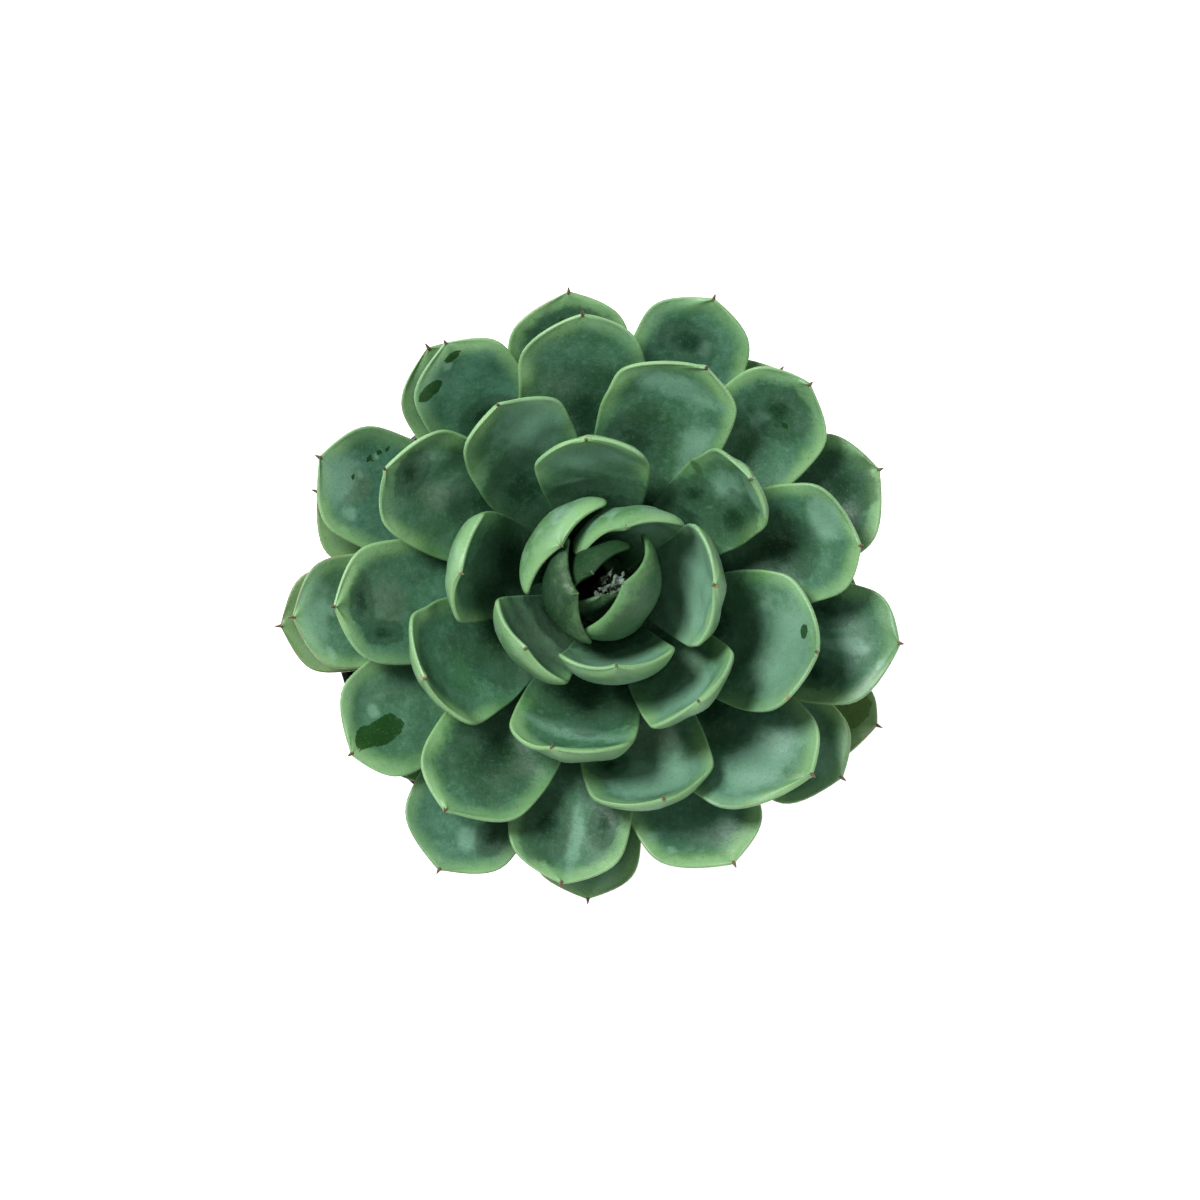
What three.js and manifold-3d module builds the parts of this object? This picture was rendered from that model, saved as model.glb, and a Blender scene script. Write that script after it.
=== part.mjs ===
// A potted rosette succulent (an echeveria): a thin black grower's pot, its potting mix, a short
// stem and a spiral of thick, cupped leaves. Millimetres, +Z up. The origin is the centre of the
// pot's base, and +Y is the top of the plant as it is seen from straight above.
import * as THREE from "three";
import { mergeVertices } from "three/addons/utils/BufferGeometryUtils.js";
import Module from "manifold-3d";

const wasm = await Module();
wasm.setup();

// --- Driving dimensions ---
const GAP = 0.3; // clearance between neighbouring pieces

const POT_HEIGHT = 48;
const RIM_RADIUS = 27;
const RIM_DEPTH = 3.6;
const RIM_STEP = 1.1; // how far the rim stands out from the wall below it
const BASE_RADIUS = 19;
const WALL = 0.9;
const FLOOR = 1.4;
const POT_SIDES = 48;
const DRAIN_HOLES = 5;
const DRAIN_RADIUS = 3;
const DRAIN_CIRCLE = 12;

const SOIL_LEVEL = POT_HEIGHT - 6;
const SOIL_SIDES = 32;
const GRIT_HEIGHT = 0.9;

const PLANT_X = 4.9; // the plant stands off the pot's centre
const PLANT_Y = 2.6;
const STEM_FOOT = SOIL_LEVEL - 13;
const STEM_NECK = 4.1; // the stem's radius where it comes out of the soil
const STEM_CROWN = 1.2; // its radius at the growing point
const STEM_GROWTH = 4.3; // how much wider it is at the oldest leaf
const APEX = 61; // the height of the growing point
const LOWEST_LEAF = 48.2; // the height where the oldest leaf leaves the stem

const LEAF_COUNT = 52;
const BUD_LEAVES = 2; // the youngest, which have not begun to open
const DIVERGENCE = 137.9; // degrees from one leaf to the next older one
const FIRST_AZIMUTH = 26.6;
const HEART_HEIGHT = 80; // the tips at the heart, and those of the oldest leaves
const SKIRT_HEIGHT = 53.5;
const TIP_SPREAD = 35; // how far out from the heart the tips come as the leaves open
const OPENING = 14.2; // the leaves that it takes them to come about two thirds of the way
const DROOP = 0.25; // how much less each of the oldest leaves reaches
const DROOP_FROM = 30;
const BUD_REACH = 1.3; // how far out the youngest tip is
const HEART_DIP = 3; // how much lower than its neighbours it is
const ROOT_SHARE = 0.6; // how far out from the stem's axis a leaf starts, as a share of its radius
const BUD_BELLY = 24; // degrees below the straight way to its tip that a leaf sets out
const OLD_BELLY = 9;
const BUD_CURL = 50; // degrees above that way that its tip ends
const OLD_CURL = 12;
const ROOT_HANDLE = 0.42; // how long those two directions hold, as shares of the leaf's length
const TIP_HANDLE = 0.3;
const LEAF_WIDTH = 14.8;
const BUD_WIDTH = 7.5;
const FADING = 0.07; // how much narrower each of the oldest leaves is
const FADING_FROM = 25;
const LEAF_DEPTH = 2.9;
const BUD_DEPTH = 1.2;
const CUP_RADIUS = 16; // how open the leaf's hollow is across
const BUD_CUP_RADIUS = 5;

const WIDEST = 0.72; // along the leaf, where it comes to its full width, and at the heart
const BUD_WIDEST = 0.8;
const FLARE = 0.5; // how softly it comes to that width, in half turns, and at the heart
const BUD_FLARE = 0.42;
const BASE_SHARE = 0.24; // the leaf base's width, as a share of the widest
const APEX_RUN = 0.36; // the length of the pointed end, as a share of the half width
const SHOULDER = 2.7; // how tight the corners beside the point are, and at the heart
const BUD_SHOULDER = 8;
const SOFTENS_FROM = 10; // the leaves where the corners start to soften, and that it takes
const SOFTENS_OVER = 8;
const SPREADS_OVER = 12; // the leaves that the base takes to come to its full spread
const BASE_DEPTH = 0.9;
const MARGIN = 0.8; // the thickness of the leaf's rounded edge
// Where a leaf's rings stand: shares of the way up to its widest place, then from there to the tip.
const BELOW_WIDEST = [0, 0.28, 0.55, 0.8, 1];
const ABOVE_WIDEST = [0.46, 0.79, 0.95];
// One ring of a leaf, as shares of its half width and depth: the upper face, then the lower.
const AROUND_LEAF = [
  [1, -0.5], [1, 0.5], [0.5, 0.2], [-0.5, 0.2],
  [-1, 0.5], [-1, -0.5], [-0.5, -0.8], [0.5, -0.8],
];

// What sets one leaf apart from the rule, by its number, 1 being the youngest. In degrees: its
// turn about the stem, its twist, its sideways sway, the belly that it has low down and the curl of
// its tip. In millimetres: how far out and up its tip is, and its width. The skew is the share of
// its half width by which the blade stands to one side of its midline, and tight adds to how tight
// its corners are.
const ON_THE_RULE = {
  turn: 0, twist: 0, sway: 0, belly: 0, curl: 0, out: 0, up: 0, width: 0, skew: 0, tight: 0,
};
const NUDGES = {
  1: { turn: -10, out: -0.5, up: -4, width: 1 },
  2: { turn: 24, twist: 14, out: -0.6, up: -2, width: 1 },
  3: { turn: 10, twist: 14, out: -0.4, up: -1 },
  4: { twist: -2, sway: 10, belly: 18, curl: 14, out: -1.6, width: 3 },
  5: { belly: 12, curl: 10, out: -2.4, width: -0.4, skew: -0.06 },
  6: { turn: 10, twist: 42, belly: 16, curl: 10, out: 0.2, width: -0.6, skew: 0.1 },
  7: { turn: 2, twist: -10, belly: 12, curl: 10, out: 0.1, width: -0.5 },
  8: { turn: -8, twist: 8, belly: 28, curl: 24, out: -4.1 },
  9: { turn: -2, belly: 5, curl: 8, out: 0.2 },
  10: { turn: -4, sway: -3, belly: 9, curl: 18, out: -3.4, width: -2.2, skew: -0.06 },
  11: { turn: 3, sway: 8, out: 0.6, width: -1.5, tight: -3 },
  12: { turn: 1, belly: 10, curl: 20, out: -0.9, width: -2, skew: 0.05 },
  13: { turn: -4, sway: 10, belly: 18, curl: 40, out: -3.6, width: -1.6, skew: -0.06 },
  14: { turn: 2, belly: 6, curl: 20, width: -3.3, skew: 0.02, tight: -3.8 },
  15: { turn: 4, sway: -12, belly: 10, curl: 38, out: -3.6, skew: 0.15 },
  16: { turn: 8, sway: -12, out: -0.1, width: -1.3, skew: -0.09, tight: -1.7 },
  17: { turn: -9, twist: 10, sway: 22, belly: 8, curl: 20, width: 2.2, skew: 0.16, tight: -1 },
  18: { turn: 5, belly: 14, curl: 34, out: -3.6, width: 0.4, tight: 1.7 },
  19: { out: 0.5, width: 0.7, skew: 0.25 },
  20: { belly: 15, curl: 45, out: -3.1, width: 0.6, skew: -0.1, tight: 1.5 },
  21: { turn: -1, sway: 7, out: -1, skew: -0.05 },
  22: { turn: -1.5, out: 0.1, width: -0.2, skew: 0.22 },
  23: { turn: 2.2, out: 0.3, width: 0.4, skew: 0.11 },
  24: { turn: -1, width: 0.8, skew: 0.07 },
  25: { turn: 1.5, belly: 12, out: 0.3, width: 2.5, skew: -0.35 },
  26: { turn: 5, out: -1.9, width: 0.3 },
  27: { turn: 3, out: 0.4, width: -0.8 },
  28: { turn: -1, out: 0.7 },
  29: { turn: -3, out: -0.6, width: -1.2, skew: 0.1 },
  30: { turn: 2, out: 0.7, width: 0.6, skew: -0.2 },
  31: { turn: 4, skew: -0.14 },
  32: { turn: -3, out: 1, width: -0.4, skew: 0.05 },
  33: { turn: 2, out: 0.5, width: 1.1, skew: -0.2 },
  34: { turn: -0.8, out: 1.1, skew: 0.08 },
  35: { turn: 5, out: 0.3, width: 1.9, skew: -0.09 },
  36: { out: 3, width: 1, skew: -0.05 },
  37: { turn: -6, width: 1.2, skew: 0.1 },
  38: { turn: -2.5, out: 1.2, skew: -0.1 },
  39: { turn: -1, out: 1.7 },
  40: { turn: 2, out: -1.2 },
  41: { turn: -3, out: 2.3, width: -0.5, skew: -0.08 },
  42: { turn: -7, out: 0.8, width: 0.3, skew: 0.08 },
  43: { out: -2.6, up: -1 },
  45: { out: -2.6, up: -1.5 },
  46: { out: -1.5, up: -0.5 },
  47: { turn: -2, out: 2.5, skew: 0.12 },
  50: { out: -3, up: -1.5 },
  51: { turn: 2, out: 4.4, up: 1.2, width: -1.5, skew: -0.3 },
  52: { turn: -7, out: 6.5 },
};

const rad = THREE.MathUtils.degToRad;
const mix = THREE.MathUtils.lerp;
const clamp = THREE.MathUtils.clamp;
const settled = (x, pace) => 1 - Math.exp(-x / pace);

// --- Solids ---
function solidOf(geometry) {
  const bare = geometry.clone();
  bare.deleteAttribute("normal");
  bare.deleteAttribute("uv");
  const merged = mergeVertices(bare, 1e-4);
  return new wasm.Manifold(
    new wasm.Mesh({
      numProp: 3,
      vertProperties: merged.attributes.position.array,
      triVerts: new Uint32Array(merged.index.array),
    }),
  );
}

function geometryOf(solid) {
  const { vertProperties, triVerts } = solid.getMesh();
  return new THREE.BufferGeometry()
    .setAttribute("position", new THREE.BufferAttribute(vertProperties, 3))
    .setIndex(new THREE.BufferAttribute(triVerts, 1));
}

// A solid skinned over rings of points, closed by a fan at the first and by one point at the end.
function skinned(rings, tip) {
  const around = rings[0].length;
  const points = [...rings.flat(), tip];
  const faces = [];
  for (let i = 1; i < around - 1; i++) faces.push(0, i + 1, i);
  rings.forEach((ring, r) => {
    for (let i = 0; i < around; i++) {
      const a = r * around + i;
      const b = r * around + ((i + 1) % around);
      if (r === rings.length - 1) faces.push(a, b, points.length - 1);
      else faces.push(a, b, b + around, a, b + around, a + around);
    }
  });
  const geometry = new THREE.BufferGeometry().setFromPoints(points);
  geometry.setIndex(faces);
  return solidOf(geometry);
}

function lathe(profile, sides) {
  const points = profile.map(([r, z]) => new THREE.Vector2(r, z));
  return solidOf(new THREE.LatheGeometry(points, sides).rotateX(Math.PI / 2));
}

function rod(radius, bottom, top) {
  return lathe([[0, bottom], [radius, bottom], [radius, top], [0, top]], 16);
}

// The largest body of a solid that a cut may have left with loose scraps.
function largest(solid) {
  return solid.decompose().reduce((a, b) => (b.volume() > a.volume() ? b : a));
}

// --- Stem: age runs from 0 at the growing point to 1 at the oldest leaf ---
const stemRadius = (age) => STEM_CROWN + STEM_GROWTH * age ** 0.7;
const leafHeight = (age) => mix(APEX, LOWEST_LEAF, age);

function stemSolid(swell = 0) {
  const profile = [
    [0, STEM_FOOT],
    [STEM_NECK * 0.4 + swell, STEM_FOOT + 0.6],
    [STEM_NECK * 0.9 + swell, STEM_FOOT + 8],
    [STEM_NECK + swell, SOIL_LEVEL + 1],
  ];
  for (const age of [1, 0.8, 0.6, 0.4, 0.2, 0]) {
    profile.push([stemRadius(age) * 0.86 + swell, leafHeight(age)]);
  }
  profile.push([0, APEX + 1 + swell]);
  return lathe(profile, 16).translate([PLANT_X, PLANT_Y, 0]);
}

// --- Leaves ---
function leafPlan(k) {
  const own = { ...ON_THE_RULE, ...NUDGES[k] };
  const grown = Math.max(0, k - BUD_LEAVES);
  const age = grown / (LEAF_COUNT - BUD_LEAVES);
  const root = new THREE.Vector2(stemRadius(age) * ROOT_SHARE, leafHeight(age));
  const opened = 1 - Math.exp(-((grown / OPENING) ** 1.4));
  const reach = BUD_REACH + TIP_SPREAD * opened - DROOP * Math.max(0, grown - DROOP_FROM);
  const dip = HEART_DIP * Math.exp(-grown / 2);
  const height = mix(HEART_HEIGHT, SKIRT_HEIGHT, age ** 0.85) - dip;
  const tip = new THREE.Vector2(reach + own.out, height + own.up);
  const chord = tip.clone().sub(root);
  const length = chord.length();
  const start = chord.angle() - rad(mix(BUD_BELLY, OLD_BELLY, age) + own.belly);
  const end = chord.angle() + rad(mix(BUD_CURL, OLD_CURL, age ** 0.7) + own.curl);
  const fading = FADING * Math.max(0, grown - FADING_FROM);
  const soft = clamp((grown - SOFTENS_FROM) / SOFTENS_OVER, 0, 1);
  const spread = clamp(grown / SPREADS_OVER, 0, 1);
  const handle = (point, angle, size) =>
    new THREE.Vector2(Math.cos(angle), Math.sin(angle)).multiplyScalar(size).add(point);
  return {
    length,
    azimuth: rad(FIRST_AZIMUTH - DIVERGENCE * (k - 1) + own.turn),
    midline: new THREE.CubicBezierCurve(
      root,
      handle(root, start, length * ROOT_HANDLE),
      handle(tip, end, -length * TIP_HANDLE),
      tip,
    ),
    twist: rad(own.twist),
    sway: Math.tan(rad(own.sway)) * length * 0.5,
    skew: own.skew,
    width: mix(BUD_WIDTH, LEAF_WIDTH, settled(grown, 1.7)) - fading + own.width,
    depth: mix(BUD_DEPTH, LEAF_DEPTH, settled(grown, 6)),
    cup: mix(BUD_CUP_RADIUS, CUP_RADIUS, settled(grown, 8)),
    shoulder: mix(BUD_SHOULDER, SHOULDER, soft) + own.tight,
    widest: mix(BUD_WIDEST, WIDEST, spread),
    flare: Math.PI * mix(BUD_FLARE, FLARE, spread),
  };
}

function halfWidth(s, plan) {
  const half = plan.width / 2;
  const climb = Math.sin(Math.min(1, s / plan.widest) * plan.flare) / Math.sin(plan.flare);
  const lower = mix(BASE_SHARE, 1, climb ** 1.3);
  const fall = ((1 - s) * plan.length) / (half * APEX_RUN);
  const upper = fall / (1 + fall ** plan.shoulder) ** (1 / plan.shoulder);
  return half * lower * upper;
}

function depthAt(s, plan) {
  return mix(BASE_DEPTH, plan.depth, Math.sin(Math.PI * s * 0.84) ** 1.3);
}

// The leaf's frame at a share s of its length: the midline's point, the way across the blade and
// the way that its hollow faces.
function leafFrame(s, plan) {
  const out = new THREE.Vector3(Math.cos(plan.azimuth), Math.sin(plan.azimuth), 0);
  const side = new THREE.Vector3(-out.y, out.x, 0);
  const lift = (point) => out.clone().multiplyScalar(point.x).setZ(point.y);
  const along = lift(plan.midline.getTangentAt(s));
  const facing = along.clone().cross(side);
  const across = side.clone().applyAxisAngle(facing, Math.atan((2 * s * plan.sway) / plan.length));
  return {
    centre: lift(plan.midline.getPointAt(s)).addScaledVector(side, plan.sway * s ** 2),
    along,
    across: across.applyAxisAngle(along, plan.twist * s),
    facing: facing.applyAxisAngle(along, plan.twist * s),
  };
}

function leafRing(s, plan, swell) {
  const { centre, across, facing } = leafFrame(s, plan);
  const half = halfWidth(s, plan) + swell;
  const depth = depthAt(s, plan);
  return AROUND_LEAF.map(([u, v]) => {
    const thick = Math.abs(u) === 1 ? Math.min(MARGIN, depth) : depth;
    const radius = plan.cup - v * thick - Math.sign(v) * swell;
    const turn = ((u + plan.skew) * half) / plan.cup;
    return centre
      .clone()
      .addScaledVector(across, radius * Math.sin(turn))
      .addScaledVector(facing, plan.cup - radius * Math.cos(turn));
  });
}

function leafSolid(k, swell = 0) {
  const plan = leafPlan(k);
  const stations = [
    ...BELOW_WIDEST.map((share) => plan.widest * share),
    ...ABOVE_WIDEST.map((share) => mix(plan.widest, 1, share)),
  ];
  const rings = stations.map((s) => leafRing(s, plan, swell));
  const { centre, along } = leafFrame(1, plan);
  return skinned(rings, centre.addScaledVector(along, swell)).translate([PLANT_X, PLANT_Y, 0]);
}

// --- Pot: a tapered wall with a band round its rim, thin all through, and drain holes ---
const wallRadius = (z) => mix(BASE_RADIUS, RIM_RADIUS - RIM_STEP, z / POT_HEIGHT);

function potSolid() {
  const ledge = POT_HEIGHT - RIM_DEPTH;
  const outside = [
    [0, 0], [BASE_RADIUS - 1, 0], [BASE_RADIUS, 1], [wallRadius(ledge), ledge],
    [RIM_RADIUS, ledge + 0.3], [RIM_RADIUS, POT_HEIGHT - 0.3], [RIM_RADIUS - 0.3, POT_HEIGHT],
  ];
  const inside = [
    [RIM_RADIUS - WALL, POT_HEIGHT], [RIM_RADIUS - WALL, ledge + WALL + 0.3],
    [wallRadius(ledge) - WALL, ledge + WALL], [wallRadius(FLOOR) - WALL, FLOOR], [0, FLOOR],
  ];
  let pot = lathe([...outside, ...inside], POT_SIDES);
  for (let i = 0; i < DRAIN_HOLES; i++) {
    const angle = (2 * Math.PI * (i + 0.5)) / DRAIN_HOLES;
    const hole = rod(DRAIN_RADIUS, -1, FLOOR + 1);
    const place = [DRAIN_CIRCLE * Math.cos(angle), DRAIN_CIRCLE * Math.sin(angle), 0];
    pot = pot.subtract(hole.translate(place));
  }
  return pot;
}

// --- Soil: it fills the pot to below the rim, with a lumpy top and a plain hole for the stem ---
function grit(x, y) {
  const wave = Math.sin(x * 2.3 + Math.sin(y * 1.7) * 1.4) * Math.cos(y * 2.1 - Math.sin(x * 1.3));
  return (wave + 0.6 * Math.sin(x * 4.1 + y * 3.3)) * 0.5;
}

function soilSolid() {
  const bed = FLOOR + GAP;
  const edge = (z) => wallRadius(z) - WALL - GAP;
  const rings = 8;
  const profile = [[0, bed], [edge(bed), bed], [edge(SOIL_LEVEL - 1.2), SOIL_LEVEL - 1.2]];
  for (let i = 0; i <= rings; i++) {
    profile.push([(edge(SOIL_LEVEL) - 0.8) * (1 - i / rings), SOIL_LEVEL]);
  }
  const points = profile.map(([r, z]) => new THREE.Vector2(r, z));
  const geometry = new THREE.LatheGeometry(points, SOIL_SIDES).rotateX(Math.PI / 2);
  const at = geometry.attributes.position;
  for (let i = 0; i < at.count; i++) {
    if (at.getZ(i) < SOIL_LEVEL - 0.5) continue;
    at.setZ(i, SOIL_LEVEL + GRIT_HEIGHT * grit(at.getX(i), at.getY(i)));
  }
  const hole = rod(STEM_NECK + GAP, STEM_FOOT - GAP, POT_HEIGHT);
  return solidOf(geometry).subtract(hole.translate([PLANT_X, PLANT_Y, 0]));
}

// --- Assembly ---
const LOOKS = {
  pot: { color: 0x1c1d1f, roughness: 0.5 },
  soil: { color: 0x3a2c22, roughness: 0.95 },
  stem: { color: 0x6d7a48, roughness: 0.7 },
  leaf: { color: 0x4f7f63, roughness: 0.45 },
};
const plant = new THREE.Group();

function add(name, solid, look) {
  const mesh = new THREE.Mesh(geometryOf(solid), new THREE.MeshStandardMaterial({ ...look, metalness: 0 }));
  mesh.name = name;
  plant.add(mesh);
}

add("pot", potSolid(), LOOKS.pot);
add("soil", soilSolid(), LOOKS.soil);
add("stem", stemSolid(), LOOKS.stem);

// Each leaf is cut clear of the stem and of the younger leaves that it grows round.
const taken = [stemSolid(GAP)];
for (let k = 1; k <= LEAF_COUNT; k++) {
  let leaf = leafSolid(k);
  for (const room of taken) {
    if (leaf.intersect(room).volume() > 1e-4) leaf = leaf.subtract(room);
  }
  add(`leaf_${String(k).padStart(2, "0")}`, largest(leaf), LOOKS.leaf);
  taken.push(leafSolid(k, GAP));
}

export default plant;
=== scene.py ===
"""A potted rosette succulent (an echeveria) in a thin black grower's pot, seen from straight above.

Sizes are in millimetres until a mesh is made, and +Y is the top of the picture. The leaves, the pot,
the soil and the stem follow the same rules as the solids that they stand for, with finer surfaces.
"""

import math

import bmesh
import bpy
import numpy as np
from mathutils import Matrix, Vector, noise


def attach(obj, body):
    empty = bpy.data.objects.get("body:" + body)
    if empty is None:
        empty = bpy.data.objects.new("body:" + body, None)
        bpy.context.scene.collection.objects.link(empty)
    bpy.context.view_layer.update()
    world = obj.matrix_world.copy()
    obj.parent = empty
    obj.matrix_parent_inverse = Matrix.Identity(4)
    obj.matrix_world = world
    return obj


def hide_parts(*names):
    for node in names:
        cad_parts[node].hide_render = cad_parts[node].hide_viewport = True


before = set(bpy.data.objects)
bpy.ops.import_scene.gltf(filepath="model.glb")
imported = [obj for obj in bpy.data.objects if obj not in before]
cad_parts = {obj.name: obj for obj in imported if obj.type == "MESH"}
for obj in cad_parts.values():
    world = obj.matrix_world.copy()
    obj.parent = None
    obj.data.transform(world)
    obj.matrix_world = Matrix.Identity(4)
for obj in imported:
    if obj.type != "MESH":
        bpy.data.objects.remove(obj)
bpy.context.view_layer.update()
MM = 0.001

# --- Camera: straight down, at the height that gives the pot's rim its size in the photograph ---
VIEW_ANGLE = 23.8
EYE = (4.79, 1.23, 385.7)

# --- Pot, soil and stem ---
POT_HEIGHT = 48
RIM_RADIUS = 27
RIM_DEPTH = 3.6
RIM_STEP = 1.1
BASE_RADIUS = 19
WALL = 0.9
FLOOR = 1.4
FOOT_INSET = 0.4  # how far the base is drawn in at its edge, and how high that goes
FOOT_HEIGHT = 1.2
RIM_SLOPE = 0.25  # how much the step under the rim slopes, outside and inside
RIM_INNER_SLOPE = 0.3
POT_ROUNDING = 0.35  # how far each corner of the pot's profile is rounded, and in how many points
ROUNDING_POINTS = 4
SHARP_ANGLE = 40  # degrees, above which an edge of the pot is drawn sharp
POT_SIDES = 160
DRAIN_HOLES = 5
DRAIN_RADIUS = 3
DRAIN_CIRCLE = 12
DRAIN_SIDES = 48
SOIL_LEVEL = POT_HEIGHT - 6
SOIL_GAP = 0.3  # between the soil and the pot
SOIL_RINGS = 46
SOIL_SIDES = 150
SOIL_SHOULDER = 1.2  # how far below its level the soil starts to round off
GRIT_HEIGHT = 0.9
GRAINS = 620
GRAIN_SIZES = (0.35, 0.95)
GRAIN_MARGIN = 1.6  # how far the grains' middles stay from the pot's wall
STEM_MARGIN = 0.4  # the room between a grain and the stem
PLANT = np.array([4.9, 2.6, 0])
STEM_FOOT = SOIL_LEVEL - 13
STEM_SIDES = 64
BARK_SHARE = 0.86  # the bark's radius, as a share of the one that the leaves start from
STEM_NECK = 4.1  # the stem's radius where it comes out of the soil
STEM_CROWN = 1.2  # its radius at the growing point
STEM_GROWTH = 4.3  # how much wider it is at the oldest leaf
APEX = 61  # the height of the growing point
LOWEST_LEAF = 48.2  # the height of the oldest leaf's root

# --- Leaves: number 1 is the youngest, at the heart ---
LEAF_COUNT = 52
BUD_LEAVES = 2  # the youngest, which have not begun to open
DIVERGENCE = 137.9  # degrees from one leaf to the next older one
FIRST_AZIMUTH = 26.6
HEART_HEIGHT = 80  # the tips at the heart, and those of the oldest leaves
SKIRT_HEIGHT = 53.5
TIP_SPREAD = 35  # how far out from the heart the tips come as the leaves open
OPENING = 14.2  # the leaves that it takes them to come about two thirds of the way
DROOP = 0.25  # how much less each of the oldest leaves reaches
DROOP_FROM = 30
BUD_REACH = 1.3  # how far out the youngest tip is
HEART_DIP = 3  # how much lower than HEART_HEIGHT it is, and less so for each older leaf
ROOT_SHARE = 0.6  # how far out from the stem's axis a leaf starts, as a share of its radius
BUD_BELLY = 24  # degrees below the straight way to its tip that a leaf sets out
OLD_BELLY = 9
BUD_CURL = 50  # degrees above that way that its tip ends
OLD_CURL = 12
ROOT_HANDLE = 0.42  # how long those two directions hold, as shares of the leaf's length
TIP_HANDLE = 0.3
LEAF_WIDTH = 14.8
BUD_WIDTH = 7.5
FADING = 0.07  # how much narrower each of the oldest leaves is
FADING_FROM = 25
LEAF_DEPTH = 2.9
BUD_DEPTH = 1.2
BASE_DEPTH = 0.9
DEPTH_WAVE = 0.84  # how much of a half wave the depth goes through from base to tip
CUP_RADIUS = 16  # of the hollow across a leaf's upper face, and at the heart
BUD_CUP_RADIUS = 5
WIDEST = 0.72  # along the leaf, where it comes to its full width, and at the heart
BUD_WIDEST = 0.8
BASE_SHARE = 0.24  # the leaf base's width, as a share of the widest
APEX_RUN = 0.36  # share of the half width that the pointed end takes
SHOULDER = 2.7  # how tight the corners beside it are, and the same at the heart
BUD_SHOULDER = 8
FLARE = 0.5  # how far the base has spread by the widest place, in half turns
BUD_FLARE = 0.42
SOFTENS_FROM = 10  # the leaves where the corners start to soften, and that it takes
SOFTENS_OVER = 8
SPREADS_OVER = 12  # the leaves that the base takes to come to its full spread
MARGIN = 0.4  # thickness of the rounded edge
UPPER_SHARE = 0.2  # how much of a leaf's depth is above the middle of the blade, and below
LOWER_SHARE = 0.8
UPPER_RUN = 5  # how far in from the edge the upper face comes to its full height
SWELL = 0.06  # the low ridge inside the edge: its height, its distance from the edge and its width
SWELL_AT = 1.5
SWELL_WIDTH = 1.1
LIP_WIDTH = 5.5  # how far in from the edge the lower face takes to come to its full depth
WAVES = 5  # the slow waves that make a leaf's faces uneven, and how high each may be
WAVE_HEIGHTS = (0.02, 0.07)
MUCRO_LENGTHS = (0.35, 1.1)  # the sharp tip's, on the youngest leaves and on grown ones
MUCRO_RADIUS = 0.26  # at its root, and how deep it is set in the leaf
MUCRO_SINK = 0.25
MUCRO_BEND = 0.25  # how far it bends towards the hollow, as a share of its length
MUCRO_PACE = 2.2  # how many times faster than the leaf's age its length grows
ACROSS = 30  # steps across a leaf's face
LOWER_STEPS = 24  # steps along it, below its widest place and above
UPPER_STEPS = 18
LINE_POINTS = 201  # points that a leaf's midline is measured by, and each half of its outline
OUTLINE_POINTS = 60

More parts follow.
